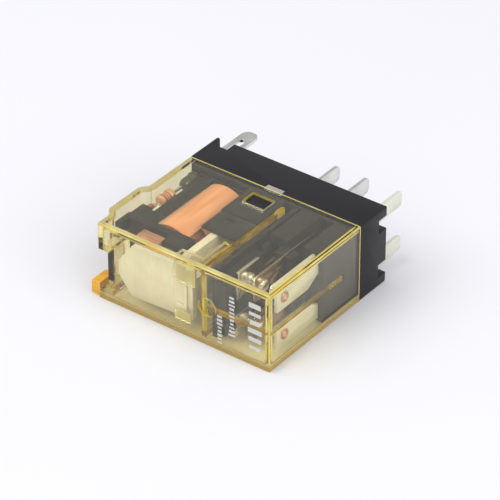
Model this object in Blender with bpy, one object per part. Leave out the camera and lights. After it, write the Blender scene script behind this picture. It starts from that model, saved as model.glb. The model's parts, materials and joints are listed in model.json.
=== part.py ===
"""A slim plug in relay with two changeover contacts, lying on its broad side.

All sizes below are millimetres in the drawing frame: X runs from the coil end to the contact end,
Y from the front face back to the blades' tips, and Z up from the lower broad side.
The helpers turn them into metres, and one empty moves the whole drawing so that the
world origin is under the middle of the relay.
"""

import math

import bmesh
import bpy
from mathutils import Matrix, Vector

MM = 0.001
ON_AXIS = 0.0001  # radius of a turned shape's closed end

# Driving dimensions of the housing.
WIDTH = 12.7
LENGTH = 29.8
COVER_DEPTH = 21.1
BASE_BACK = 27.5
BLADE_TIP = 33.7
WALL = 0.8
LUG_OUT = 1.47
MID = WIDTH / 2
ROOF = WIDTH - WALL
FIT = 0.1  # between the base's rim and the cover's inner walls
SLOT_FIT = 0.05  # round a terminal in its slot

# Coil end of the cover: the bulge that fingers grip, the notch and the lug below it.
BULGE_OUT = 1.0
BULGE_RAMP = (2.5, 3.9)
BULGE_FALL = (10.2, 12.0)
NOTCH_DEPTH = 1.8
NOTCH_BACK = 3.5
NOTCH_Z = (2.4, 8.4)
LUG_Z = (0.2, 2.4)
LUG_BACK = 3.4

# Latch windows in the two broad sides.
WINDOW_X = (12.7, 16.5)
WINDOW_Y = (16.4, 19.1)

# Ribs inside the cover.
PARTITION_X = (17.9, 18.4)
RIB_DEPTH = 0.9
LEVEL_RIB_Z = (5.75, 6.25)
GATE_X, GATE_R = 19.05, 1.5

# Coil, on an axis along Y.
COIL_X = 7.5
WINDING_R = 4.45
TAPE_R = 4.62
CORE_R = 2.0
FLANGE_FRONT = (5.1, 6.3)
FLANGE_BACK = (19.7, 20.9)

# Magnet frame. The armature rocks on the front outer edge of the yoke.
STEEL = 1.2
YOKE_X = (12.9, 14.1)
IRON_Z = (1.8, 10.9)
HINGE_X, HINGE_Y = 14.1, 2.5
ARMATURE_STEEL = 1.0
ARMATURE_Z = (2.2, 10.5)
ARMATURE_OPEN = math.radians(3.0)
ARMATURE_END = 3.2
LEG_OUT = 1.6
LEG_BACK = 12.0

# Contacts. The upper set is drawn, and the lower one is its mirror about the middle.
POLE_Z = 9.45
STRIP = 0.5
PLATE_Z = (7.55, 11.35)
BLADE_Z = (8.85, 11.35)
NC_X, COM_X, NO_X = 22.15, 24.2, 27.8
NC_BLADE_X, COM_BLADE_X = 17.0, 22.1
NC_JOG_Y, COM_JOG_Y = 22.8, 24.3
CONTACT_Y = 5.0
CONTACT_R = 0.95
CONTACT_HIGH = 0.88
LEAF_X = 24.6
LEAF = 0.2
LEAF_ROOT_Y = 19.6
LEAF_Z = (7.65, 11.25)
LEAF_SWING = math.radians(3.15)
CLOSED_GAP = 0.03
RIVET_HOLE, ROOT_HOLE, SHANK_R = 0.5, 0.45, 0.45
NC_WAIST_Z = (7.55, 9.3)  # the plate narrows behind its contact
COM_ROOT_Z = (8.85, 10.4)  # the common plate stays below the leaf's upper edge

# Coil blades lie flat, one under each broad side.
COIL_BLADE_X = (0.5, 3.1)
COIL_BLADE_Z = (10.4, 10.9)

# Pins in the bobbin: two for the ends of the wire, and one that the indicator hangs from.
COIL_PIN_X, COIL_PIN_Z = (1.6, 2.1), (9.9, 10.5)
LAMP_PIN_X, LAMP_PIN_Z = (2.72, 3.18), (10.15, 10.75)
LEAD_R, COIL_WIRE_R = 0.21, 0.11

# Base, behind and between the working parts.
RIM_Y, BLOCK_Y = 20.2, 12.8
BLOCK_X = (19.6, 28.85)
PARTITION_WALL_X = (19.2, 19.9)
TOWER_X, TOWER_Y = (19.3, 21.6), (1.5, 9.9)
SIDE_WALL_X = (11.3, 17.5)
SIDE_STEP_Y, SIDE_FRONT_Y = 13.6, 8.95
LEAF_BAY_X = (23.5, 25.9)
RELIEF_Y = 25.55  # the socket's locating steps on the back
HALF_SLOT = STRIP / 2 + SLOT_FIT
BEYOND = BASE_BACK + 0.5

# Card that the armature's leg pushes.
CARD_Y = (10.4, 12.2)
CARD_NOSE_X = 15.32
CARD_END_X = 25.8

for leftover in list(bpy.data.objects):
    bpy.data.objects.remove(leftover)

frame = bpy.data.objects.new("relay_frame", None)
bpy.context.scene.collection.objects.link(frame)
frame.location = (-(LENGTH - LUG_OUT) / 2 * MM, -BLADE_TIP / 2 * MM, 0)


# Materials ---------------------------------------------------------------------------------------


def material(name, colour, roughness, metallic=0.0, transmission=0.0):
    made = bpy.data.materials.new(name)
    made.use_nodes = True
    made.diffuse_color = (*colour, 1)
    shader = made.node_tree.nodes["Principled BSDF"]
    shader.inputs["Base Color"].default_value = (*colour, 1)
    shader.inputs["Roughness"].default_value = roughness
    shader.inputs["Metallic"].default_value = metallic
    shader.inputs["Transmission Weight"].default_value = transmission
    return made


CLEAR_YELLOW = material("clear_yellow_polycarbonate", (0.90, 0.80, 0.35), 0.08, transmission=0.9)
BLACK = material("black_moulding", (0.03, 0.03, 0.033), 0.45)
COPPER_WIRE = material("enamelled_copper", (0.50, 0.20, 0.10), 0.35, 0.8)
TAPE = material("orange_tape", (0.85, 0.42, 0.24), 0.45)
COPPER = material("copper", (0.72, 0.38, 0.27), 0.3, 1.0)
PLATED_STEEL = material("plated_steel", (0.72, 0.72, 0.68), 0.3, 1.0)
TIN = material("tinned_brass", (0.78, 0.78, 0.74), 0.28, 1.0)
LEAF_ALLOY = material("copper_leaf_alloy", (0.70, 0.50, 0.36), 0.28, 1.0)
SILVER = material("silver_contact", (0.88, 0.86, 0.82), 0.2, 1.0)
RESISTOR_TAN = material("resistor_lacquer", (0.62, 0.42, 0.30), 0.4)
LAMP = material("indicator_lens", (0.16, 0.17, 0.12), 0.2)


# Shape helpers -----------------------------------------------------------------------------------


def finish(name, bm, look, origin=(0.0, 0.0, 0.0), smooth_angle=None):
    """Turns a bmesh drawn in millimetres into a named object whose origin is at `origin`."""
    bmesh.ops.remove_doubles(bm, verts=bm.verts, dist=1e-4)
    bmesh.ops.recalc_face_normals(bm, faces=bm.faces)
    bmesh.ops.translate(bm, verts=bm.verts, vec=-Vector(origin))
    bmesh.ops.scale(bm, verts=bm.verts, vec=(MM, MM, MM))
    mesh = bpy.data.meshes.new(name)
    bm.to_mesh(mesh)
    bm.free()
    if smooth_angle:
        mesh.shade_smooth()
        mesh.set_sharp_from_angle(angle=math.radians(smooth_angle))
    made = bpy.data.objects.new(name, mesh)
    made.location = Vector(origin) * MM
    made.parent = frame
    bpy.context.scene.collection.objects.link(made)
    if look:
        mesh.materials.append(look)
    return made


def box_into(bm, xs, ys, zs):
    centre = Vector((sum(xs) / 2, sum(ys) / 2, sum(zs) / 2))
    size = Vector((xs[1] - xs[0], ys[1] - ys[0], zs[1] - zs[0]))
    bmesh.ops.create_cube(bm, size=1, matrix=Matrix.Translation(centre) @ Matrix.Diagonal((*size, 1)))
    return bm


def box(xs, ys, zs):
    return box_into(bmesh.new(), xs, ys, zs)


def prism(outline, across, span):
    """Extrudes a 2D outline along one axis. The outline's pairs are the other two axes in order."""
    place = {
        "X": lambda p, s: (s, p[0], p[1]),
        "Y": lambda p, s: (p[0], s, p[1]),
        "Z": lambda p, s: (p[0], p[1], s),
    }[across]
    bm = bmesh.new()
    rings = [[bm.verts.new(place(p, s)) for p in outline] for s in span]
    for ring in rings:
        bm.faces.new(ring)
    count = len(outline)
    for i in range(count):
        j = (i + 1) % count
        bm.faces.new((rings[0][i], rings[0][j], rings[1][j], rings[1][i]))
    return bm


def strip(stations, thickness):
    """A bent strip. Each station is (x, y, low z, high z) on its middle line."""
    points = [Vector(s[:2]) for s in stations]
    bm = bmesh.new()
    rings = []
    for i, (point, station) in enumerate(zip(points, stations)):
        before = (point - points[i - 1]).normalized() if i else None
        after = (points[i + 1] - point).normalized() if i + 1 < len(points) else None
        along = ((before or after) + (after or before)).normalized()
        side = Vector((-along.y, along.x))
        reach = thickness / 2 / max(0.3, along.dot(after or before))
        left, right = point + side * reach, point - side * reach
        low, high = station[2:]
        corners = ((left, low), (right, low), (right, high), (left, high))
        rings.append([bm.verts.new((p.x, p.y, z)) for p, z in corners])
    for first, second in zip(rings, rings[1:]):
        for k in range(4):
            bm.faces.new((first[k], first[(k + 1) % 4], second[(k + 1) % 4], second[k]))
    bm.faces.new(rings[0])
    bm.faces.new(rings[-1])
    return bm


def turned(profile, start, direction, segments=32):
    """A closed turned solid. The profile's pairs are (distance along the axis, radius)."""
    direction = Vector(direction)
    turn = Vector((0, 0, 1)).rotation_difference(direction).to_matrix().to_4x4()
    place = Matrix.Translation(start) @ turn
    bm = bmesh.new()
    ring_of = [[bm.verts.new(place @ Vector((r * math.cos(a), r * math.sin(a), h)))
                for a in (2 * math.pi * k / segments for k in range(segments))]
               for h, r in profile]
    pairs = list(zip(ring_of, ring_of[1:] + ring_of[:1]))
    for first, second in pairs:
        for k in range(segments):
            m = (k + 1) % segments
            bm.faces.new((first[k], first[m], second[m], second[k]))
    return bm


def rod(radius, start, end, direction, segments=24):
    """A plain closed cylinder along one axis."""
    across = Vector(direction)
    turn = Vector((0, 0, 1)).rotation_difference(across).to_matrix().to_4x4()
    bm = bmesh.new()
    bmesh.ops.create_cone(
        bm, cap_ends=True, segments=segments, radius1=radius, radius2=radius,
        depth=(Vector(end) - Vector(start)).length,
        matrix=Matrix.Translation((Vector(start) + Vector(end)) / 2) @ turn,
    )
    return bm


def wire(name, points, radius, look):
    """A round wire along a list of points, as a curve with a bevel and filled caps."""
    curve = bpy.data.curves.new(name, "CURVE")
    curve.dimensions = "3D"
    curve.bevel_depth = radius * MM
    curve.bevel_resolution = 2
    curve.use_fill_caps = True
    line = curve.splines.new("POLY")
    line.points.add(len(points) - 1)
    for target, point in zip(line.points, points):
        target.co = (*(Vector(point) * MM), 1)
    curve.materials.append(look)
    made = bpy.data.objects.new(name, curve)
    made.parent = frame
    bpy.context.scene.collection.objects.link(made)
    return made


def boolean(target, helper, operation):
    """Adds one EXACT Boolean and hides the object that it uses."""
    helper.hide_render = True
    helper.display_type = "WIRE"
    modifier = target.modifiers.new(helper.name, "BOOLEAN")
    modifier.operation = operation
    modifier.solver = "EXACT"
    modifier.object = helper


def combined(target, shapes, operation):
    """Joins or cuts the target with each drawn shape in turn."""
    for index, shape in enumerate(shapes):
        boolean(target, finish(f"{target.name}_{operation.lower()}_{index}", shape, None), operation)
    return target


def mirrored(zs):
    """The same height range on the other side of the middle."""
    return (WIDTH - zs[1], WIDTH - zs[0])


def both(zs):
    return (zs, mirrored(zs))


def grown(span, by):
    return (span[0] - by, span[1] + by)


# Cover -------------------------------------------------------------------------------------------


def end_profile(inset):
    """The cover's outline seen from above, moved inwards by `inset` on all but the open side."""
    fall = [
        (inset - BULGE_OUT * (0.5 + 0.5 * math.cos(math.pi * t / 4)),
         BULGE_FALL[0] + (BULGE_FALL[1] - BULGE_FALL[0]) * t / 4 - inset / 4)
        for t in range(4, -1, -1)
    ]
    back = COVER_DEPTH + (2.0 if inset else 0.0)
    return [
        (inset, inset),
        (LENGTH - inset, inset),
        (LENGTH - inset, back),
        (inset, back),
        *fall,
        (inset - BULGE_OUT, BULGE_RAMP[1] + inset / 4),
        (inset, BULGE_RAMP[0] + inset / 4),
    ]


def make_cover():
    shell = finish("cover", prism(end_profile(0.0), "Z", (0.0, WIDTH)), CLEAR_YELLOW)
    edges = shell.modifiers.new("moulded_edges", "BEVEL")
    edges.width = 0.25 * MM
    edges.segments = 2
    edges.limit_method = "ANGLE"
    edges.angle_limit = math.radians(60)
    notch = box((-3.0, NOTCH_DEPTH), (-1.0, NOTCH_BACK), NOTCH_Z)
    windows = [box(WINDOW_X, WINDOW_Y, zs) for zs in both((ROOF - 1, WIDTH + 1))]
    gate = rod(GATE_R, (GATE_X, -1.0, MID), (GATE_X, 0.45, MID), (0, 1, 0))
    combined(shell, [notch, *windows, gate], "DIFFERENCE")
    cavity = finish("cover_cavity", prism(end_profile(WALL), "Z", (WALL, ROOF)), None)
    behind_notch = box((-3.0, NOTCH_DEPTH + WALL), (-1.0, NOTCH_BACK + WALL), grown(NOTCH_Z, WALL))
    under_lug = box((-3.0, 2.0), (-1.0, LUG_BACK + WALL), (-1.0, 3.0))
    combined(cavity, [behind_notch, under_lug], "DIFFERENCE")
    boolean(shell, cavity, "DIFFERENCE")
    lug = box((-LUG_OUT, NOTCH_DEPTH + 0.3), (0.03, LUG_BACK), LUG_Z)
    into_wall = 0.2
    ribs = [lug]
    for zs in both((ROOF - RIB_DEPTH, ROOF + into_wall)):
        ribs.append(box(PARTITION_X, (WALL - into_wall, 19.0), zs))
    ribs.append(box(PARTITION_X, (WALL - into_wall, WALL + 0.6), (WALL - into_wall, ROOF + into_wall)))
    ribs.append(box((18.2, LENGTH - WALL + into_wall), (WALL - into_wall, WALL + 0.6), LEVEL_RIB_Z))
    ribs.append(box((28.5, LENGTH - WALL + into_wall), (WALL - into_wall + 0.03, 17.5), grown(LEVEL_RIB_Z, -0.02)))
    ribs.append(box((13.2, 16.8), (WALL - into_wall, 1.1), (8.5, ROOF + into_wall)))
    ribs.append(box((13.2, 16.0), (WALL - into_wall, 1.1), (2.0, 3.7)))
    pocket = [(13.0, 0.7), (13.2, 2.1), (15.1, 2.5), (16.9, 2.1), (16.9, 6.7), (18.6, 6.7)]
    ribs.append(strip([(x, y, ROOF - 0.7, ROOF + into_wall) for x, y in pocket], 0.35))
    combined(shell, ribs, "UNION")


# Base --------------------------------------------------------------------------------------------


def latch_tab(zs_up):
    ramp = [(16.65, 11.6), (16.65, 11.95), (17.6, 12.45), (18.85, 12.45), (18.85, 11.6)]
    if not zs_up:
        ramp = [(y, WIDTH - z) for y, z in ramp]
    return prism(ramp, "X", (12.95, 16.25))


def make_base():
    body = finish("base", box((0, LENGTH), (COVER_DEPTH, BASE_BACK), (0, WIDTH)), BLACK)
    edges = body.modifiers.new("moulded_edges", "BEVEL")
    edges.width = 0.2 * MM
    edges.segments = 2
    rim = box((WALL + FIT, LENGTH - WALL - FIT), (RIM_Y, COVER_DEPTH + 0.4), (WALL + FIT, ROOF - FIT))
    block = box(BLOCK_X, (BLOCK_Y, COVER_DEPTH + 0.5), (0.95, 11.75))
    partition = box(PARTITION_WALL_X, (1.55, COVER_DEPTH + 0.6), (1.05, 11.65))
    tower = box(TOWER_X, TOWER_Y, (2.0, 10.7))
    walls = [box(SIDE_WALL_X, (SIDE_STEP_Y, COVER_DEPTH + 0.7), zs) for zs in both((11.05, 11.74))]
    walls += [box(grown(SIDE_WALL_X, -0.05), (SIDE_FRONT_Y, SIDE_STEP_Y + 0.4), zs)
              for zs in both((11.06, 11.5))]
    combined(body, [rim, block, partition, tower, *walls, latch_tab(True), latch_tab(False)], "UNION")

    coil_pocket = box((0.95, 14.6), (19.0, 22.8), (1.65, 11.05))
    card_window = box((18.9, 20.2), (10.2, 12.5), (4.2, 8.5))
    rib_groove = box((28.3, 29.5), (12.0, 18.0), grown(LEVEL_RIB_Z, 0.25))
    combined(body, [coil_pocket, card_window, rib_groove, *terminal_slots(), *base_recesses()], "DIFFERENCE")


def slot_at(x, ys, zs):
    return box(grown((x, x), HALF_SLOT), ys, zs)


def jogged_slot(outer_x, inner_x, start_y, jog_y, zs):
    """A slot that runs back at `inner_x`, steps sideways at `jog_y`, and leaves at `outer_x`."""
    jog = grown((jog_y, jog_y), HALF_SLOT)
    return [slot_at(inner_x, (start_y, jog[1]), zs), box(grown((outer_x, inner_x), HALF_SLOT), jog, zs),
            slot_at(outer_x, (jog[0], BEYOND), zs)]


def terminal_slots():
    """The slots that the six contact terminals and the two coil terminals are pushed into."""
    slots = []
    for zs in both(grown(BLADE_Z, SLOT_FIT)):
        slots += jogged_slot(NC_BLADE_X, NC_X, BLOCK_Y - 0.8, NC_JOG_Y, zs)
        slots += jogged_slot(COM_BLADE_X, COM_X, 21.0, COM_JOG_Y, zs)
        slots.append(slot_at(NO_X, (BLOCK_Y - 0.8, BEYOND), zs))
    slots += [slot_at(NC_X, (BLOCK_Y - 0.8, 13.9), zs) for zs in both((7.4, 11.39))]
    for zs in both(grown(COIL_BLADE_Z, SLOT_FIT)):
        slots.append(box(grown(COIL_BLADE_X, SLOT_FIT), (23.0, BEYOND), zs))
        slots.append(box((1.65, 3.1), (22.0, 23.5), grown(zs, 0.01)))
    return slots


def base_recesses():
    """Bays for the leaves, a trench beside the partition, and the steps and notches outside."""
    trench_x = (PARTITION_WALL_X[1] - 0.01, 20.35)
    cut = [box(trench_x, (12.0, RIM_Y + 0.1), zs) for zs in both((8.0, 12.5))]
    cut += [box(LEAF_BAY_X, (12.0, 20.1), zs) for zs in both((7.3, 12.2))]
    cut += [box(grown(LEAF_BAY_X, -0.01), (19.0, 21.9), zs) for zs in both((7.3, 11.5))]
    cut += [box((15.8, LENGTH + 1), (RELIEF_Y, 28.5), zs) for zs in both((9.0, 11.2))]
    cut += [box(grown(COIL_BLADE_X, SLOT_FIT + 0.01), (RELIEF_Y + 0.01, 28.5), zs)
            for zs in both((10.6, 13.5))]
    cut += [box((13.1, 16.2), (COVER_DEPTH - 0.1, 22.1), zs) for zs in both((12.0, 13.5))]
    cut += [box((13.1, 14.5), (12.2, 12.65), zs) for zs in both((10.5, 12.5))]
    return cut


# Coil and magnet ---------------------------------------------------------------------------------


def make_bobbin():
    tube = [(FLANGE_FRONT[0], 2.1), (FLANGE_BACK[1], 2.1), (FLANGE_BACK[1], 2.6), (FLANGE_FRONT[0], 2.6)]
    body = finish("bobbin", turned(tube, (COIL_X, 0, MID), (0, 1, 0)), BLACK, smooth_angle=35)
    for ys, xs in ((FLANGE_FRONT, (0.9, 12.3)), (FLANGE_BACK, (2.8, 12.3))):
        plate = finish(f"bobbin_plate_{ys[0]}", box(xs, ys, (1.7, 11.0)), None)
        combined(plate, [rod(2.35, (COIL_X, 0, MID), (COIL_X, 30, MID), (0, 1, 0))], "DIFFERENCE")
        boolean(body, plate, "UNION")
    between = (FLANGE_FRONT[1] - 0.35, FLANGE_BACK[0] + 0.35)
    block = box((0.95, 2.8), (FLANGE_FRONT[1] - 0.3, 9.0), (1.75, 10.95))
    boss = box((2.5, 3.6), (FLANGE_FRONT[1] - 0.32, 8.5), (9.95, 10.94))
    rails = [box((3.3, 4.5), between, zs) for zs in both((10.0, 10.9))]
    lips = [box((4.4, 5.1), grown(between, 0.01), zs) for zs in both((10.45, 10.89))]
    shelves = [box((8.85, 12.29), (3.3, FLANGE_FRONT[0] + 0.2), zs) for zs in both((10.1, 10.99))]
    horn = box((0.7, 1.65), (3.1, FLANGE_FRONT[0] + 1.0), (9.35, 10.98))
    combined(body, [block, boss, *rails, *lips, *shelves, horn], "UNION")
    holes = [box(grown(COIL_PIN_X, SLOT_FIT), (7.0, 9.5), zs) for zs in both(grown(COIL_PIN_Z, SLOT_FIT))]
    holes += [box((1.3, 2.55), (7.0, 9.6), zs) for zs in both((8.2, 8.9))]
    holes.append(box(grown(LAMP_PIN_X, SLOT_FIT), (7.3, 9.6), grown(LAMP_PIN_Z, SLOT_FIT)))
    combined(body, holes, "DIFFERENCE")


def make_winding():
    low, high = FLANGE_FRONT[1] + 0.05, FLANGE_BACK[0] - 0.05
    wound = [(low, 2.65), (high, 2.65), (high, WINDING_R), (low, WINDING_R)]
    finish("winding", turned(wound, (COIL_X, 0, MID), (0, 1, 0), 48), COPPER_WIRE, smooth_angle=35)
    wrap = [(6.9, WINDING_R + 0.05), (19.5, WINDING_R + 0.05), (19.5, TAPE_R), (6.9, TAPE_R)]
    finish("coil_tape", turned(wrap, (COIL_X, 0, MID), (0, 1, 0), 48), TAPE, smooth_angle=35)


def make_core():
    stem = [(4.4, ON_AXIS), (4.4, CORE_R), (21.0, CORE_R), (21.0, 1.4), (22.45, 1.4), (22.45, ON_AXIS)]
    body = finish("core", turned(stem, (COIL_X, 0, MID), (0, 1, 0)), PLATED_STEEL, smooth_angle=35)
    pole_z, face_y, ringed_x = (2.75, 9.95), HINGE_Y + 0.05, (5.6, 8.0)
    poles = [box((ringed_x[0] - 0.01, 10.6), (4.5, 5.0), pole_z)]
    poles.append(box(ringed_x, (face_y, 4.6), grown(pole_z, -0.01)))
    poles.append(box((8.85, 10.59), (face_y, 4.6), grown(pole_z, -0.01)))
    combined(body, poles, "UNION")
    ring = finish("shading_ring", box((4.85, 8.75), (HINGE_Y + 0.12, 4.38), (1.9, 10.8)), COPPER)
    combined(ring, [box(grown(ringed_x, 0.07), (2.0, 5.0), grown(pole_z, 0.07))], "DIFFERENCE")


def make_yoke():
    middle_x = sum(YOKE_X) / 2
    rear_y = 21.6
    bend = 0.9
    path = [(middle_x, HINGE_Y + 0.03)]
    for step in range(4):
        turn = math.radians(30 * step)
        path.append((middle_x - bend + bend * math.cos(turn), rear_y - bend + bend * math.sin(turn)))
    path.append((3.6, rear_y))
    plate = finish("yoke", strip([(x, y, *IRON_Z) for x, y in path], STEEL), PLATED_STEEL)
    combined(plate, [rod(1.46, (COIL_X, 20, MID), (COIL_X, 24, MID), (0, 1, 0))], "DIFFERENCE")


def make_armature():
    """Drawn shut on the pole face, then turned open about the edge that it rocks on."""
    low, high = ARMATURE_Z
    left = ARMATURE_END - HINGE_X
    face = [(left, low + 3.0), (left + 2.2, low), (LEG_OUT, low), (LEG_OUT, high), (left + 2.2, high),
            (left, high - 3.0)]
    plate = prism([(x, z) for x, z in face], "Y", (-ARMATURE_STEEL, 0.0))
    body = finish("armature", plate, PLATED_STEEL)
    leg = box((LEG_OUT - ARMATURE_STEEL, LEG_OUT - 0.01), (-0.3, LEG_BACK - HINGE_Y), (low + 0.01, high - 0.01))
    shape = finish("armature_leg", leg, None)
    relief = [box((0.0, 3.0), (0.0, 12.0), zs) for zs in both((8.5, 14.0))]
    combined(shape, relief, "DIFFERENCE")
    for helper in [shape, *(m.object for m in shape.modifiers)]:
        helper.parent = body
    boolean(body, shape, "UNION")
    body.location = (HINGE_X * MM, HINGE_Y * MM, 0)
    body.rotation_euler.z = ARMATURE_OPEN


def make_hinge_spring():
    front = box((13.2, 15.0), (1.2, 1.4), (1.6, 11.1))
    body = finish("hinge_spring", front, PLATED_STEEL)
    ears = [box((13.21, 13.95), (1.21, 3.9), zs) for zs in both((10.96, 11.09))]
    combined(body, ears, "UNION")
    combined(body, [box((12.0, 14.5), (1.0, 2.0), (4.3, 8.4))], "DIFFERENCE")


def make_card():
    """A comb, seen along Y. Each contact leaf stands in its own slot, and the fixed plates pass by."""
    tall, neck, wide = (1.6, 11.1), (5.3, 7.4), (4.35, 8.35)
    upper = [
        (CARD_NOSE_X, wide[1]), (20.5, wide[1]), (20.5, tall[1]), (21.3, tall[1]), (21.3, neck[1]),
        (22.85, neck[1]), (22.85, tall[1]), (24.36, tall[1]), (24.36, neck[1]), (24.84, neck[1]),
        (24.84, tall[1]), (CARD_END_X, tall[1]),
    ]
    lower = [(x, WIDTH - z) for x, z in reversed(upper)]
    body = finish("card", prism(upper + lower, "Y", CARD_Y), BLACK)
    clear = [box((15.0, 16.6), (9.0, 10.7), (3.0, 10.0)), box((15.0, 16.6), (11.3, 14.0), (3.0, 10.0))]
    combined(body, clear, "DIFFERENCE")


# Contacts ----------------------------------------------------------------------------------------


def blade_end(x, zs, start):
    """Stations that carry a blade from `start` to its rounded tip."""
    round_off = 0.7
    stations = [(x, start, *zs)]
    for step in range(4):
        turn = math.radians(30 * step)
        inset = round_off * (1 - math.cos(turn))
        stations.append((x, BLADE_TIP - round_off * (1 - math.sin(turn)), zs[0] + inset, zs[1] - inset))
    return stations


def flat(zs, upper):
    return zs if upper else mirrored(zs)


def hole_along_x(radius, x, y, z):
    return rod(radius, (x - 1, y, z), (x + 1, y, z), (1, 0, 0))


def make_pole(side):
    upper = side == "upper"
    plate, blade, leaf = (flat(zs, upper) for zs in (PLATE_Z, BLADE_Z, LEAF_Z))
    z = POLE_Z if upper else WIDTH - POLE_Z

    waist, root_z = flat(NC_WAIST_Z, upper), flat(COM_ROOT_Z, upper)
    nc = [(NC_X, 3.0, *plate), (NC_X, 7.7, *plate), (NC_X, 8.4, *waist), (NC_X, 12.7, *waist),
          (NC_X, 13.6, *blade), (NC_X, NC_JOG_Y, *blade), (NC_BLADE_X, NC_JOG_Y, *blade),
          *blade_end(NC_BLADE_X, blade, 26.0)]
    closed = finish(f"nc_terminal_{side}", strip(nc, STRIP), TIN)
    combined(closed, [hole_along_x(RIVET_HOLE, NC_X, CONTACT_Y, z)], "DIFFERENCE")

    no = [(NO_X, 3.4, *plate), (NO_X, 10.5, *plate), (NO_X, 12.6, *blade), *blade_end(NO_X, blade, 26.0)]
    opened = finish(f"no_terminal_{side}", strip(no, STRIP), TIN)
    combined(opened, [hole_along_x(RIVET_HOLE, NO_X, CONTACT_Y, z)], "DIFFERENCE")

    com = [(COM_X, 17.8, *root_z), (COM_X, 21.2, *root_z), (COM_X, 21.9, *blade), (COM_X, COM_JOG_Y, *blade),
           (COM_BLADE_X, COM_JOG_Y, *blade), *blade_end(COM_BLADE_X, blade, 26.0)]
    common = finish(f"com_terminal_{side}", strip(com, STRIP), TIN)
    combined(common, [hole_along_x(ROOT_HOLE, COM_X, LEAF_ROOT_Y, z)], "DIFFERENCE")

    root = (LEAF_X, LEAF_ROOT_Y, 0.0)
    spring = [(LEAF_X, 3.7, leaf[0] + 0.4, leaf[1] - 0.4), (LEAF_X, 4.0, *leaf), (LEAF_X, 17.0, *leaf),
              (LEAF_X, 18.6, leaf[0] + 1.0, leaf[1]), (LEAF_X, 20.0, leaf[0] + 1.0, leaf[1])]
    moving = finish(f"moving_spring_{side}", strip(spring, LEAF), LEAF_ALLOY, origin=root)
    holes = [hole_along_x(RIVET_HOLE, LEAF_X, CONTACT_Y, z), hole_along_x(ROOT_HOLE, LEAF_X, LEAF_ROOT_Y, z)]
    combined(moving, holes, "DIFFERENCE")
    return z


def domed_head(face, height, radius, towards):
    """Profile points of a contact head that stands on `face` and points along `towards` (1 or -1)."""
    steps = ((0.0, 1.0), (0.72, 1.0), (0.93, 0.8), (1.0, 0.45))
    return [*((face + towards * height * h, radius * r) for h, r in steps), (face + towards * height, ON_AXIS)]


def make_contacts(side, z):
    seat = 0.02
    leaf_low, leaf_high = LEAF_X - LEAF / 2, LEAF_X + LEAF / 2
    heads = list(reversed(domed_head(leaf_low - seat, CONTACT_HIGH, CONTACT_R, -1)))
    heads += [(leaf_low - seat, SHANK_R), (leaf_high + seat, SHANK_R)]
    heads += domed_head(leaf_high + seat, CONTACT_HIGH, CONTACT_R, 1)
    pair = turned(heads, (0, CONTACT_Y, z), (1, 0, 0), 28)
    finish(f"moving_contact_{side}", pair, SILVER, origin=(LEAF_X, LEAF_ROOT_Y, 0.0), smooth_angle=40)

    nc_face, nc_back = NC_X + STRIP / 2 + seat, NC_X - STRIP / 2 - seat
    reach = leaf_low - seat - CONTACT_HIGH - CLOSED_GAP - nc_face
    profile = [(nc_back - 0.15, ON_AXIS), (nc_back - 0.15, 0.6), (nc_back, 0.75), (nc_back, SHANK_R),
               (nc_face, SHANK_R)]
    profile += domed_head(nc_face, reach, CONTACT_R, 1)
    finish(f"nc_contact_{side}", turned(profile, (0, CONTACT_Y, z), (1, 0, 0), 28), SILVER, smooth_angle=40)

    swing = math.sin(LEAF_SWING) * (LEAF_ROOT_Y - CONTACT_Y)
    no_face, no_back = NO_X - STRIP / 2 - seat, NO_X + STRIP / 2 + seat
    reach = no_face - (leaf_high + seat + CONTACT_HIGH + swing + CLOSED_GAP)
    profile = list(reversed(domed_head(no_face, reach, CONTACT_R, -1)))
    profile += [(no_face, SHANK_R), (no_back, SHANK_R), (no_back, 0.8), (no_back + 0.2, 0.65),
                (no_back + 0.2, ON_AXIS)]
    finish(f"no_contact_{side}", turned(profile, (0, CONTACT_Y, z), (1, 0, 0), 28), COPPER, smooth_angle=40)

    head_face, com_back, shank = leaf_high + 0.06, COM_X - STRIP / 2, 0.38
    profile = [(com_back - 0.2, ON_AXIS), (com_back - 0.2, 0.6), (com_back - seat, 0.7),
               (com_back - seat, shank), (head_face, shank), (head_face, 0.7), (head_face + 0.25, 0.55),
               (head_face + 0.25, ON_AXIS)]
    rivet = turned(profile, (0, LEAF_ROOT_Y, z), (1, 0, 0), 20)
    finish(f"leaf_rivet_{side}", rivet, COPPER, smooth_angle=40)


# Coil connections and the indicator --------------------------------------------------------------


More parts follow.
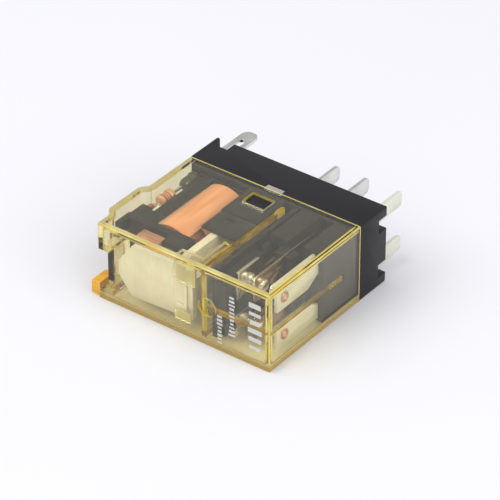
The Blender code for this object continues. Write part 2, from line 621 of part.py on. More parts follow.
def make_coil_connections(side):
    upper = side == "upper"
    over = (lambda h: h) if upper else (lambda h: WIDTH - h)
    middle = sum(COIL_BLADE_X) / 2
    half = (COIL_BLADE_X[1] - COIL_BLADE_X[0]) / 2
    level, low_level = sum(COIL_BLADE_Z) / 2, 8.55
    tail = (1.75, 2.45)
    outline = [(tail, 9.3, low_level), (tail, 20.6, low_level), (tail, 21.9, level), (tail, 23.1, level),
               ((middle - half, middle + half), 23.3, level), ((middle - half, middle + half), 32.5, level)]
    for step in range(1, 4):
        turn = math.radians(30 * step)
        inset = 1.0 * (1 - math.cos(turn))
        outline.append(((middle - half + inset, middle + half - inset),
                        BLADE_TIP - 1.2 * (1 - math.sin(turn)), level))
    bm = bmesh.new()
    rings = []
    for (x0, x1), y, h in outline:
        low, high = over(h - STRIP / 2), over(h + STRIP / 2)
        rings.append([bm.verts.new((x, y, z)) for x, z in ((x0, low), (x1, low), (x1, high), (x0, high))])
    for first, second in zip(rings, rings[1:]):
        for k in range(4):
            bm.faces.new((first[k], first[(k + 1) % 4], second[(k + 1) % 4], second[k]))
    bm.faces.new(rings[0])
    bm.faces.new(rings[-1])
    blade = finish(f"coil_terminal_{side}", bm, TIN)
    zs = sorted((over(level - 1), over(level + 1)))
    arc = [(middle + 0.55 * math.cos(math.radians(t)), 30.75 + 0.55 * math.sin(math.radians(t)))
           for t in range(0, 181, 30)]
    slot = [(middle + 0.55, 26.6), *arc, (middle - 0.55, 26.6)]
    combined(blade, [prism(slot, "Z", zs)], "DIFFERENCE")

    finish(f"coil_pin_{side}", box(COIL_PIN_X, (7.1, 10.7), flat(COIL_PIN_Z, upper)), TIN)
    pin_x, pin_z = sum(COIL_PIN_X) / 2, sum(COIL_PIN_Z) / 2
    turns, steps, pitch, reach = 3, 12, 0.26, 0.5
    path = []
    for step in range(turns * steps + 1):
        turn = 2 * math.pi * step / steps
        x, z = pin_x + reach * math.cos(turn), pin_z + reach * math.sin(turn)
        path.append((x, 9.25 + pitch * step / steps, z))
    path += [(2.45, 10.4, 10.0), (2.9, 10.7, 9.6), (3.5, 10.6, 9.35), (3.7, 10.4, 9.25)]
    wire(f"coil_wire_{side}", [(x, y, over(z)) for x, y, z in path], COIL_WIRE_R, COPPER_WIRE)


def make_indicator():
    line = 10.15
    body = [(11.6, 0.3), (11.6, 0.75), (11.85, 0.95), (12.4, 0.95), (12.55, 0.85), (13.4, 0.85), (13.55, 0.95),
            (14.15, 0.95), (14.4, 0.75), (14.4, 0.3)]
    profile = [(body[0][0], ON_AXIS), *body, (body[-1][0], ON_AXIS)]
    finish("resistor", turned(profile, (1.9, 0, line), (0, 1, 0), 24), RESISTOR_TAN, smooth_angle=40)
    finish("indicator_pin", box(LAMP_PIN_X, (7.4, 10.2), LAMP_PIN_Z), TIN)
    front = [(1.9, 11.55, line), (2.0, 11.35, line), (2.4, 11.0, 10.25), (2.85, 10.6, 10.4), (2.95, 10.25, 10.45)]
    wire("resistor_lead_front", front, LEAD_R, TIN)
    lens = [(16.9, ON_AXIS), (16.9, 0.7), (17.3, 0.9), (19.2, 0.9), (19.2, 1.02), (19.6, 1.02), (19.6, ON_AXIS)]
    finish("indicator_lamp", turned(lens, (1.95, 0, line), (0, 1, 0), 24), LAMP, smooth_angle=40)
    rear = [(1.9, 14.45, line), (1.9, 15.4, line), (1.92, 16.4, line), (1.95, 16.85, line)]
    wire("resistor_lead_rear", rear, LEAD_R, TIN)
    tail = [(1.95, 19.65, line), (1.9, 20.1, line), (1.45, 20.9, line), (1.4, 21.9, line)]
    wire("lamp_lead", tail, LEAD_R, TIN)


make_cover()
make_base()
make_bobbin()
make_winding()
make_core()
make_yoke()
make_armature()
make_hinge_spring()
make_card()
for side_name in ("upper", "lower"):
    contact_z = make_pole(side_name)
    make_contacts(side_name, contact_z)
    make_coil_connections(side_name)
make_indicator()
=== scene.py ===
# %% [markdown]
# # A slim plug in relay under a clear yellow cover
#
# A plug in relay is a switch that a coil works. This one has two changeover contacts, a taped coil,
# a rocking armature and a card that pushes the contact leaves. All of it shows through the cover,
# so every inner piece needs a finish of its own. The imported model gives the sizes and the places.
# The lesson adds what a camera sees on top of them: softened edges, wound wire, tape, bands, ink,
# moulded plastic and tinned metal.

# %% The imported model
import json
import math

import bmesh
import bpy
from mathutils import Matrix, Vector

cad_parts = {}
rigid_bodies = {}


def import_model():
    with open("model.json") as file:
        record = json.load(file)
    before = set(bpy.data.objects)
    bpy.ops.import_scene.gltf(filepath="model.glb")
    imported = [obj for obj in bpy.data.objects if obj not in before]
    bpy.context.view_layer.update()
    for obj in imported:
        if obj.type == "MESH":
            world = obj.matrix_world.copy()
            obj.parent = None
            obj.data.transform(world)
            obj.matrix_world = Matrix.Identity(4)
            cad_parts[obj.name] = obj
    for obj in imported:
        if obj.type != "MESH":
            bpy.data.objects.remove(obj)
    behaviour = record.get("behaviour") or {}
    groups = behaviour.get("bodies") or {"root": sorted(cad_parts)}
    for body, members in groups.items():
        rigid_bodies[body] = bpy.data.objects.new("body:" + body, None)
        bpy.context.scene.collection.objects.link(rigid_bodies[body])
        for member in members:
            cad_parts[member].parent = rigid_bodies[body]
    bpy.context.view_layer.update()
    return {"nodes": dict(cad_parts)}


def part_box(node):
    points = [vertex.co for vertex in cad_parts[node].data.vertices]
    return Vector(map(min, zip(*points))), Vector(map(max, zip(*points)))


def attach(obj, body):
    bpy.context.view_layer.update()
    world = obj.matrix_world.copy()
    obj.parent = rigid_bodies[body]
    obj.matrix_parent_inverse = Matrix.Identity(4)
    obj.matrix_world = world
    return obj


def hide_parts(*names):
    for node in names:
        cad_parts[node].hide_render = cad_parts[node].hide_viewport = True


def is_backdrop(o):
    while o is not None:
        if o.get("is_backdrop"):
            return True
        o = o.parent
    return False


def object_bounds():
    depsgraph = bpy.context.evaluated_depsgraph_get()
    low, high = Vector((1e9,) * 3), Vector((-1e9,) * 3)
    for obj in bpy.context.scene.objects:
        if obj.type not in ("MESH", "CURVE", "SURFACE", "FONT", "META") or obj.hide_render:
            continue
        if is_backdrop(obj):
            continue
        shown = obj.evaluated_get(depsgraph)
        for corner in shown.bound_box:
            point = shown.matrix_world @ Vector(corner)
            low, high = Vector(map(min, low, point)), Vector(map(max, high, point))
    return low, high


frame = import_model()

MM = 0.001

# %% [markdown]
# ## One corner to measure from
#
# A maker reads a relay's drawing from one corner: the coil end, the front face and the lower broad
# side. The base starts at the coil end and the cover starts at the front face, so their boxes give
# that corner. A point in millimetres on the drawing then becomes a place in the model.

# %% The drawing's corner
CORNER = Vector((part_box("base")[0].x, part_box("cover")[0].y, 0.0))
LENGTH = (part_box("base")[1].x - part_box("base")[0].x) / MM
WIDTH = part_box("cover")[1].z / MM
DEPTH = (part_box("cover")[1].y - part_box("cover")[0].y) / MM
LUG_END = (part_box("cover")[0].x - CORNER.x) / MM


def at(x, y, z):
    """A point of the drawing, in millimetres, as a place in the model, in metres."""
    return CORNER + Vector((x, y, z)) * MM


print(f"length {LENGTH:.2f}, width {WIDTH:.2f}, cover depth {DEPTH:.2f}, lug to {LUG_END:.2f} mm")

# %% [markdown]
# ## Colours and nodes
#
# Colour charts give sRGB values, and Blender's sockets take linear ones, so one function turns a hex
# code into a linear colour. A second function adds a node, sets what it is given and links the rest.
# Every finish below is written with these two.

# %% Two helpers for every finish


def linear(code):
    """An sRGB hex colour as the linear colour that Blender's sockets take."""
    parts = [int(code[i:i + 2], 16) / 255 for i in (1, 3, 5)]
    return (*[c / 12.92 if c <= 0.04045 else ((c + 0.055) / 1.055) ** 2.4 for c in parts], 1.0)


def add(tree, kind, sockets=None, **settings):
    """Adds a node. A value in `sockets` that is a socket is linked, and any other is set."""
    made = tree.nodes.new(kind)
    for name, value in settings.items():
        setattr(made, name, value)
    for key, value in (sockets or {}).items():
        if isinstance(value, bpy.types.NodeSocket):
            tree.links.new(value, made.inputs[key])
        else:
            made.inputs[key].default_value = value
    return made


def material(name):
    """An empty node material, its tree, and the place where the object is at each point."""
    made = bpy.data.materials.new(name)
    made.use_nodes = True
    made.node_tree.nodes.clear()
    place = add(made.node_tree, "ShaderNodeTexCoord").outputs["Object"]
    return made, made.node_tree, place


def per(millimetres):
    """A texture's scale for a pattern that repeats every so many millimetres."""
    return 1 / (millimetres * MM)


print("a grain of 0.1 mm needs a scale of", per(0.1))

# %% [markdown]
# ## The clear cover
#
# The cover is tinted polycarbonate, moulded in a polished tool. Its walls are 0.8 mm thick and nearly
# colourless to look through, but light that runs along a wall comes out deep yellow. So the tint is in
# the volume and not on the surface: absorption takes the blue first. Polycarbonate bends light more
# than glass does, with an index of 1.585. A lamp's rays pass straight through, because a path that
# has to find a lamp through two bent surfaces seldom does, and the inside would be dark. A path that
# is caught inside a wall leaves it after the second reflection, tinted by the way that it went.
#
# Edges, ribs and the lug gather the light that runs along the walls, so they glow amber, and deepest
# along the bottom, where they look into the whole length of the lower wall. That glow is painted: these
# sections get a partly cloudy version of the plastic whose amber colour is painted glow on top of the
# real tint, with a painted deeper gold towards the bottom. The strips of the roof that lie over a wall
# get a paler painted glow, since they look down into it. Small folds and bosses get a pale, partly
# cloudy version: the plastic's pale tint where it is thin, with a painted highlight.

# %% Tinted polycarbonate
TINT = (0.92, 0.80, 0.06, 1.0)
TINT_DENSITY = 210.0
POLYCARBONATE_INDEX = 1.585
FLOW_SPACING = 2.5
FLOW_DEPTH = 0.02
# Heights in millimetres over which the painted glow turns to its painted deeper gold.
PAINTED_BOTTOM_SPAN = (0.7, 1.8)
LAST_REFLECTION = 1.5


def by_height(tree, place, span, below, above):
    """Blends from one colour to another between two heights in millimetres."""
    split = add(tree, "ShaderNodeSeparateXYZ", {"Vector": place})
    share = add(tree, "ShaderNodeMapRange", {
        "Value": split.outputs["Z"], "From Min": span[0] * MM, "From Max": span[1] * MM})
    return add(tree, "ShaderNodeMix", {0: share.outputs[0], 6: below, 7: above}, data_type="RGBA").outputs[2]


def polycarbonate(name, face, painted_bottom, shadow, clear, rough=0.08, ripple=0.2):
    """Tinted polycarbonate, `clear` from 0 to 1. Its cloudy part is painted glow, turning from `face` to the
    painted deeper gold `painted_bottom` near the bottom.
    """
    made, tree, place = material(name)
    flow = add(tree, "ShaderNodeTexNoise", {
        "Vector": place, "Scale": per(FLOW_SPACING), "Detail": 2.0, "Roughness": 0.4})
    shade = add(tree, "ShaderNodeValToRGB", {"Fac": flow.outputs["Fac"]})
    shade.color_ramp.elements[0].position, shade.color_ramp.elements[1].position = 0.38, 0.62
    shade.color_ramp.elements[0].color, shade.color_ramp.elements[1].color = linear(face[0]), linear(face[1])
    # Painted light: the cloudy part's colour stands for light run along the walls, with a painted deeper gold
    # low down.
    body = by_height(tree, place, PAINTED_BOTTOM_SPAN, linear(painted_bottom), shade.outputs["Color"])
    bump = add(tree, "ShaderNodeBump", {
        "Height": flow.outputs["Fac"], "Strength": ripple, "Distance": FLOW_DEPTH * MM})
    glass = add(tree, "ShaderNodeBsdfPrincipled", {
        "Base Color": linear("#fffdf4"), "Roughness": rough, "IOR": POLYCARBONATE_INDEX,
        "Transmission Weight": 1.0, "Normal": bump.outputs["Normal"]})
    cloudy = add(tree, "ShaderNodeBsdfPrincipled", {
        "Base Color": body, "Roughness": rough + 0.1, "IOR": POLYCARBONATE_INDEX,
        "Normal": bump.outputs["Normal"]})
    plastic = add(tree, "ShaderNodeMixShader", {0: clear, 1: cloudy.outputs[0], 2: glass.outputs[0]})
    through = add(tree, "ShaderNodeBsdfTransparent", {"Color": linear(shadow)})
    path = add(tree, "ShaderNodeLightPath")
    caught = add(tree, "ShaderNodeMath", {0: path.outputs["Glossy Depth"], 1: LAST_REFLECTION},
                 operation="GREATER_THAN")
    lit = add(tree, "ShaderNodeMath", {0: path.outputs["Is Shadow Ray"], 1: path.outputs["Is Diffuse Ray"]},
              operation="MAXIMUM")
    straight = add(tree, "ShaderNodeMath", {0: caught.outputs[0], 1: lit.outputs[0]}, operation="MAXIMUM")
    both = add(tree, "ShaderNodeMixShader", {
        0: straight.outputs[0], 1: plastic.outputs[0], 2: through.outputs[0]})
    inside = add(tree, "ShaderNodeVolumeAbsorption", {"Color": TINT, "Density": TINT_DENSITY})
    add(tree, "ShaderNodeOutputMaterial", {"Surface": both.outputs[0], "Volume": inside.outputs[0]})
    return made


# Only the clear wall is plain tinted plastic. The amber edge, olive rib, paler and lug looks paint the glow
# of light run along the walls into their colour, on top of the real tint.
COVER_WALL = polycarbonate("clear_yellow_polycarbonate", ("#fffdf6", "#fffef9"), "#fffdf4", "#ffffff",
                           clear=1.0, rough=0.02, ripple=0.15)
EDGE_PAINTED_GLOW = polycarbonate("amber_edge_polycarbonate", ("#dcc450", "#f2e278"), "#b08c26", "#fff4c0",
                           clear=0.32)
RIB_PAINTED_GLOW = polycarbonate("olive_rib_polycarbonate", ("#8a7410", "#c4a820"), "#a8860f", "#fff0b0",
                          clear=0.25, rough=0.10)
# The pale look paints a highlight over the pale tint of thin plastic.
PALE_PAINTED_HIGHLIGHT = polycarbonate("pale_edge_polycarbonate", ("#f2e9bc", "#fdf8da"), "#e0cd78", "#fffbe6",
                           clear=0.6, rough=0.06)
PALER_PAINTED_GLOW = polycarbonate("glowing_polycarbonate", ("#efdc94", "#fbf2b8"), "#d8bc5c", "#fffae0",
                           clear=0.6, rough=0.05)
LUG_PAINTED_GLOW = polycarbonate("amber_lug_polycarbonate", ("#e2a210", "#f2b41a"), "#e4a412", "#fff0b0",
                          clear=0.12)
POLYCARBONATE = (COVER_WALL, EDGE_PAINTED_GLOW, RIB_PAINTED_GLOW, PALE_PAINTED_HIGHLIGHT, PALER_PAINTED_GLOW, LUG_PAINTED_GLOW)
# AMBER, RIB, GLOW and DEEP are painted glow, and PALE is a painted highlight over a pale tint.
CLEAR, AMBER, RIB, PALE, GLOW, DEEP = range(len(POLYCARBONATE))
print([finish.name for finish in POLYCARBONATE])

# %% [markdown]
# ## Black mouldings
#
# The base is glass filled polyester, moulded in a tool with a fine eroded texture. That gives a deep
# charcoal with a soft sheen, a fine grain of about 0.08 mm, and slightly smoother patches where the
# melt met the tool last. The grain is drawn at 0.2 mm, since the real one is too fine to show. The
# bobbin and the card are black nylon, and the latch tongue shows a frosted grey.

# %% Glass filled polyester
MELT_DRIFT = 5.0
GRAIN_DEPTH = 0.02


def black_moulding(name, dark, light, rough, grain, shine):
    """Black thermoplastic with an eroded grain and a slow drift in colour and sheen."""
    made, tree, place = material(name)
    drift = add(tree, "ShaderNodeTexNoise", {"Vector": place, "Scale": per(MELT_DRIFT), "Detail": 3.0})
    shade = add(tree, "ShaderNodeValToRGB", {"Fac": drift.outputs["Fac"]})
    shade.color_ramp.elements[0].color = linear(dark)
    shade.color_ramp.elements[1].color = linear(light)
    sheen = add(tree, "ShaderNodeMapRange", {
        "Value": drift.outputs["Fac"], "To Min": rough[0], "To Max": rough[1]})
    speck = add(tree, "ShaderNodeTexNoise", {"Vector": place, "Scale": per(grain), "Detail": 4.0})
    bump = add(tree, "ShaderNodeBump", {
        "Height": speck.outputs["Fac"], "Strength": 0.05, "Distance": GRAIN_DEPTH * MM})
    body = add(tree, "ShaderNodeBsdfPrincipled", {
        "Base Color": shade.outputs["Color"], "Roughness": sheen.outputs[0], "IOR": 1.57,
        "Specular IOR Level": shine, "Normal": bump.outputs["Normal"]})
    add(tree, "ShaderNodeOutputMaterial", {"Surface": body.outputs[0]})
    return made


BASE_BLACK = black_moulding("glass_filled_polyester", "#0d0d0f", "#19191c", (0.42, 0.58), 0.2, 0.34)
BOBBIN_BLACK = black_moulding("black_nylon", "#0c0c0d", "#171718", (0.40, 0.55), 0.25, 0.34)
TONGUE_GREY = black_moulding("grey_frosted_tongue", "#948b8c", "#aca4a5", (0.40, 0.50), 0.3, 0.5)
print(BASE_BLACK.name, BOBBIN_BLACK.name, TONGUE_GREY.name)

# %% [markdown]
# ## Rolled and stamped metals
#
# The blades are brass with a bright tin plate, the leaves are a copper spring alloy, and the iron of
# the magnet is plated a warm grey. All were rolled before they were stamped, which leaves fine
# streaks along one way. Stretching a noise along that way draws them. Metals keep the default index.

# %% Rolled metals
STAIN_SPACING = 2.4


def rolled_metal(name, dark, light, rough, along, pitch=0.09, depth=0.004, metallic=1.0):
    """A rolled metal strip. `along` stretches the streaks, which lie `pitch` apart, as (x, y, z)."""
    made, tree, place = material(name)
    lay = add(tree, "ShaderNodeMapping", {"Vector": place, "Scale": along})
    streak = add(tree, "ShaderNodeTexNoise", {"Vector": lay.outputs[0], "Scale": per(pitch), "Detail": 3.0})
    stain = add(tree, "ShaderNodeTexNoise", {"Vector": place, "Scale": per(STAIN_SPACING), "Detail": 4.0})
    blend = add(tree, "ShaderNodeMath", {0: streak.outputs["Fac"], 1: stain.outputs["Fac"]},
                operation="MULTIPLY")
    shade = add(tree, "ShaderNodeValToRGB", {"Fac": blend.outputs[0]})
    shade.color_ramp.elements[0].position = 0.12
    shade.color_ramp.elements[1].position = 0.4
    shade.color_ramp.elements[0].color = linear(dark)
    shade.color_ramp.elements[1].color = linear(light)
    sheen = add(tree, "ShaderNodeMapRange", {
        "Value": stain.outputs["Fac"], "To Min": rough[0], "To Max": rough[1]})
    bump = add(tree, "ShaderNodeBump", {
        "Height": streak.outputs["Fac"], "Strength": 0.5, "Distance": depth * MM})
    body = add(tree, "ShaderNodeBsdfPrincipled", {
        "Base Color": shade.outputs["Color"], "Metallic": metallic, "Roughness": sheen.outputs[0],
        "Normal": bump.outputs["Normal"]})
    add(tree, "ShaderNodeOutputMaterial", {"Surface": body.outputs[0]})
    return made


ALONG_X, ALONG_Y, ALONG_Z, EVEN = (0.04, 1.0, 1.0), (1.0, 0.04, 1.0), (1.0, 1.0, 0.04), (1.0, 1.0, 1.0)
TINNED_BRASS = rolled_metal("tinned_brass", "#c9c9c2", "#ecece6", (0.18, 0.30), ALONG_Y)
PLATE_BRASS = rolled_metal("tinned_contact_plate", "#dcdccb", "#eeeee0", (0.36, 0.48), ALONG_Y,
                           depth=0.002, metallic=0.45)
SPRING_BRONZE = rolled_metal("copper_spring_alloy", "#a58a78", "#cdb09c", (0.10, 0.18), ALONG_Y)
PLATED_IRON = rolled_metal("plated_iron", "#e6e2d2", "#f8f5ec", (0.40, 0.55), ALONG_Z,
                           depth=0.002, metallic=0.25)
BARE_COPPER = rolled_metal("bare_copper", "#b5694a", "#dc9a7a", (0.22, 0.36), ALONG_Z)
RING_COPPER = rolled_metal("drawn_copper_ring", "#b5705a", "#f2bda6", (0.30, 0.42), ALONG_X,
                           pitch=0.16, depth=0.03, metallic=0.7)
SILVER_ALLOY = rolled_metal("silver_contact_alloy", "#d9d5cc", "#f6f3ea", (0.12, 0.25), EVEN,
                            pitch=0.4, depth=0.002)
print(TINNED_BRASS.name, PLATE_BRASS.name, SPRING_BRONZE.name, PLATED_IRON.name, BARE_COPPER.name,
      RING_COPPER.name, SILVER_ALLOY.name)

# %% [markdown]
# ## Coil wire and tape
#
# The winding is fine copper wire with a red brown enamel, a clear coat over metal. Over it goes a
# polyester film tape, pale orange, which is smooth, slightly see-through and a little wrinkled along
# the coil where it was pulled tight.

# %% Enamelled wire and film tape
made, tree, place = material("enamelled_copper_wire")
turn_shade = add(tree, "ShaderNodeTexNoise", {"Vector": place, "Scale": per(0.6), "Detail": 2.0})
shade = add(tree, "ShaderNodeValToRGB", {"Fac": turn_shade.outputs["Fac"]})
shade.color_ramp.elements[0].position, shade.color_ramp.elements[1].position = 0.35, 0.65
shade.color_ramp.elements[0].color, shade.color_ramp.elements[1].color = linear("#8a4a34"), linear("#b9705a")
body = add(tree, "ShaderNodeBsdfPrincipled", {
    "Base Color": shade.outputs["Color"], "Metallic": 0.85, "Roughness": 0.32, "Coat Weight": 0.8,
    "Coat Roughness": 0.12})
add(tree, "ShaderNodeOutputMaterial", {"Surface": body.outputs[0]})
ENAMELLED_WIRE = made

made, tree, place = material("orange_film_tape")
pulled = add(tree, "ShaderNodeMapping", {"Vector": place, "Scale": (1.0, 0.12, 1.0)})
wrinkle = add(tree, "ShaderNodeTexNoise", {"Vector": pulled.outputs[0], "Scale": per(0.9), "Detail": 3.0})
shade = add(tree, "ShaderNodeValToRGB", {"Fac": wrinkle.outputs["Fac"]})
shade.color_ramp.elements[0].position, shade.color_ramp.elements[1].position = 0.3, 0.7
shade.color_ramp.elements[0].color, shade.color_ramp.elements[1].color = linear("#e69a6c"), linear("#f6b189")
bump = add(tree, "ShaderNodeBump", {"Height": wrinkle.outputs["Fac"], "Strength": 0.4, "Distance": 0.03 * MM})
body = add(tree, "ShaderNodeBsdfPrincipled", {
    "Base Color": shade.outputs["Color"], "Roughness": 0.34, "IOR": 1.58, "Normal": bump.outputs["Normal"]})
add(tree, "ShaderNodeOutputMaterial", {"Surface": body.outputs[0]})
FILM_TAPE = made

made, tree, place = material("tape_edge")
thin = add(tree, "ShaderNodeTexNoise", {"Vector": place, "Scale": per(0.5), "Detail": 2.0})
shade = add(tree, "ShaderNodeValToRGB", {"Fac": thin.outputs["Fac"]})
shade.color_ramp.elements[0].color, shade.color_ramp.elements[1].color = linear("#eec4a4"), linear("#fbe6d4")
body = add(tree, "ShaderNodeBsdfPrincipled", {
    "Base Color": shade.outputs["Color"], "Roughness": 0.3, "IOR": 1.58})
add(tree, "ShaderNodeOutputMaterial", {"Surface": body.outputs[0]})
TAPE_EDGE = made
print(ENAMELLED_WIRE.name, FILM_TAPE.name, TAPE_EDGE.name)

# %% [markdown]
# ## Resistor, lamp and ink
#
# The resistor is dipped in tan lacquer and has colour bands round it, so its colour is read from how
# far along the resistor a point lies. The lamp is a small dark lens. The ink is plain matt white.

# %% Lacquer, lens and ink
resistor_low, resistor_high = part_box("resistor")
made, tree, place = material("tan_resistor_lacquer")
split = add(tree, "ShaderNodeSeparateXYZ", {"Vector": place})
reach = add(tree, "ShaderNodeMapRange", {
    "Value": split.outputs["Y"], "From Min": resistor_low.y, "From Max": resistor_high.y})
bands = add(tree, "ShaderNodeValToRGB", {"Fac": reach.outputs[0]})
bands.color_ramp.interpolation = "CONSTANT"
TAN, BROWN, ORANGE, GOLD = "#dba48c", "#9a5240", "#cf6e4a", "#c79a62"
stops = [(0.16, BROWN), (0.26, TAN), (0.36, ORANGE), (0.46, TAN), (0.54, BROWN), (0.62, TAN),
         (0.78, GOLD), (0.88, TAN)]
first, last = bands.color_ramp.elements
first.position, first.color = 0.0, linear(TAN)
last.position, last.color = stops[0][0], linear(stops[0][1])
for position, code in stops[1:]:
    bands.color_ramp.elements.new(position).color = linear(code)
RIBBING_PITCH = 0.45
ribbing = add(tree, "ShaderNodeTexWave", {
    "Vector": place, "Scale": per(RIBBING_PITCH * 2 * math.pi), "Distortion": 0.5}, bands_direction="Y")
bump = add(tree, "ShaderNodeBump", {"Height": ribbing.outputs["Fac"], "Strength": 0.6, "Distance": 0.05 * MM})
body = add(tree, "ShaderNodeBsdfPrincipled", {
    "Base Color": bands.outputs["Color"], "Roughness": 0.3, "Coat Weight": 0.4, "Coat Roughness": 0.1,
    "Normal": bump.outputs["Normal"]})
add(tree, "ShaderNodeOutputMaterial", {"Surface": body.outputs[0]})
RESISTOR_LACQUER = made

made, tree, place = material("dark_lamp_lens")
cloud = add(tree, "ShaderNodeTexNoise", {"Vector": place, "Scale": per(1.2)})
shade = add(tree, "ShaderNodeValToRGB", {"Fac": cloud.outputs["Fac"]})
shade.color_ramp.elements[0].color, shade.color_ramp.elements[1].color = linear("#2a2b20"), linear("#4a4836")
body = add(tree, "ShaderNodeBsdfPrincipled", {
    "Base Color": shade.outputs["Color"], "Roughness": 0.12, "IOR": 1.5, "Coat Weight": 0.5})
add(tree, "ShaderNodeOutputMaterial", {"Surface": body.outputs[0]})
LAMP_LENS = made

made, tree, place = material("white_pad_print_ink")
pinholes = add(tree, "ShaderNodeTexNoise", {"Vector": place, "Scale": per(0.15), "Detail": 2.0})
shade = add(tree, "ShaderNodeValToRGB", {"Fac": pinholes.outputs["Fac"]})
shade.color_ramp.elements[0].color, shade.color_ramp.elements[1].color = linear("#bdbdb6"), linear("#d9d9d3")
body = add(tree, "ShaderNodeBsdfPrincipled", {"Base Color": shade.outputs["Color"], "Roughness": 0.6})
add(tree, "ShaderNodeOutputMaterial", {"Surface": body.outputs[0]})
WHITE_INK = made
print(RESISTOR_LACQUER.name, LAMP_LENS.name, WHITE_INK.name)

# %% [markdown]
# ## Pieces from drawings
#
# A piece is drawn in millimetres from the corner, then scaled and put in its place, so its object
# stays at the origin, unturned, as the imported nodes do. Moulded and stamped parts have no knife edges:
# a small bevel catches the light as the real ones do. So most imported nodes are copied, merged and
# softened by the radius that their making leaves.

# %% Making and softening a piece
SMOOTH_ANGLE = 35


def smoothed(mesh, degrees=SMOOTH_ANGLE):
    mesh.shade_smooth()
    mesh.set_sharp_from_angle(angle=math.radians(degrees))


def new_object(name, mesh, *finishes):
    made = bpy.data.objects.new(name, mesh)
    bpy.context.scene.collection.objects.link(made)
    for finish in finishes:
        mesh.materials.append(finish)
    return made


def drawn(name, bm, *finishes):
    """Turns a bmesh drawn in millimetres from the corner into an object in its place."""
    bmesh.ops.remove_doubles(bm, verts=bm.verts, dist=1e-4)
    bmesh.ops.recalc_face_normals(bm, faces=bm.faces)
    bmesh.ops.transform(bm, verts=bm.verts, matrix=Matrix.Translation(CORNER) @ Matrix.Scale(MM, 4))
    mesh = bpy.data.meshes.new(name)
    bm.to_mesh(mesh)
    bm.free()
    return new_object(name, mesh, *finishes)


def settled(obj, smooth_degrees=None):
    """The object with its modifiers turned into plain mesh."""
    bpy.context.view_layer.update()
    ready = obj.evaluated_get(bpy.context.evaluated_depsgraph_get())
    mesh = bpy.data.meshes.new_from_object(ready)
    obj.modifiers.clear()
    obj.data = mesh
    if smooth_degrees:
        smoothed(mesh, smooth_degrees)
    return obj


def softened(node, finish, radius=0.0, segments=2):
    """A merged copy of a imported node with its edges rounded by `radius` millimetres."""
    bm = bmesh.new()
    bm.from_mesh(frame["nodes"][node].data)
    bmesh.ops.remove_doubles(bm, verts=bm.verts, dist=0.001 * MM)
    bmesh.ops.dissolve_limit(bm, angle_limit=math.radians(1.0), verts=bm.verts, edges=bm.edges)
    mesh = bpy.data.meshes.new(f"{node}_fine")
    bm.to_mesh(mesh)
    bm.free()
    made = new_object(f"{node}_fine", mesh)
    mesh.materials.clear()
    mesh.materials.append(finish)
    if radius:
        edge = made.modifiers.new("edge", "BEVEL")
        edge.width = radius * MM
        edge.segments = segments
        edge.limit_method = "ANGLE"
        edge.angle_limit = math.radians(SMOOTH_ANGLE)
    return settled(made, SMOOTH_ANGLE)


def placed(piece, body, slot_name, *nodes):
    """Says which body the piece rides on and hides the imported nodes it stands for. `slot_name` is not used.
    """
    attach(piece, body)
    if nodes:
        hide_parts(*nodes)
    return piece


print("helpers ready")

# %% The softened pieces
BOTH = ("upper", "lower")
FINE = [("base", BASE_BLACK, 0.08, "housing", "black_moulding"),
        ("bobbin", BOBBIN_BLACK, 0.08, "housing", "black_moulding"),
        ("card", BOBBIN_BLACK, 0.08, "card", "black_moulding"),
        ("yoke", PLATED_IRON, 0.1, "housing", "plated_steel"),
        ("core", PLATED_IRON, 0.06, "housing", "plated_steel"),
        ("armature", PLATED_IRON, 0.12, "armature", "plated_steel"),
        ("hinge_spring", PLATED_IRON, 0.03, "housing", "plated_steel"),
        ("shading_ring", RING_COPPER, 0.12, "housing", "bare_copper"),
        ("resistor", RESISTOR_LACQUER, 0.0, "housing", "resistor_lacquer"),
        ("indicator_lamp", LAMP_LENS, 0.0, "housing", "lamp_lens"),
        ("resistor_lead_front", TINNED_BRASS, 0.0, "housing", "tinned_metal"),
        ("resistor_lead_rear", TINNED_BRASS, 0.0, "housing", "tinned_metal"),
        ("lamp_lead", TINNED_BRASS, 0.0, "housing", "tinned_metal"),
        ("indicator_pin", PLATED_IRON, 0.05, "housing", "tinned_metal")]
for side in BOTH:
    FINE += [(f"{kind}_terminal_{side}", PLATE_BRASS if kind == "no" else TINNED_BRASS, 0.05, "housing",
              "tinned_metal") for kind in ("nc", "com", "no", "coil")]
    FINE += [(f"coil_pin_{side}", TINNED_BRASS, 0.08, "housing", "tinned_metal"),
             (f"moving_spring_{side}", SPRING_BRONZE, 0.04, f"leaf_{side}", "leaf_alloy"),
             (f"moving_contact_{side}", SILVER_ALLOY, 0.0, f"leaf_{side}", "silver_contact"),
             (f"nc_contact_{side}", SILVER_ALLOY, 0.0, "housing", "silver_contact"),
             (f"leaf_rivet_{side}", BARE_COPPER, 0.0, "housing", "bare_copper"),
             (f"coil_wire_{side}", ENAMELLED_WIRE, 0.0, "housing", "enamelled_copper")]
for node, finish, radius, body, slot_name in FINE:
    placed(softened(node, finish, radius), body, slot_name, node)
print(len(FINE), "softened pieces")

# %% [markdown]
# ## The cover's shape
#
# The mould makes the cover as one shell, open at the back, so it is drawn the same way: an outer form
# with rounded edges, a hollow cut out of it, then ribs. The inner corners matter as much as the outer
# ones, because each inner corner shows twice, once through each of the walls that meet there. Bevels
# and cut faces get the amber version of the plastic, whose colour is painted glow for the light that
# runs along the walls, and the broad faces get the clear one. The broad faces are also shaded flat: if
# their shading bent towards the bevels, as smooth shading does, each pane would act as a lens and
# everything behind it would look warped.

# %% Shapes for the cover
WALL = 0.8
EDGE_ROUND, CORNER_ROUND = 0.2, 0.22
NOTCH = ((-3.0, 1.8), (-1.0, 3.5), (2.4, 8.4))
WINDOW_X, WINDOW_Y = (12.7, 16.5), (16.4, 19.1)
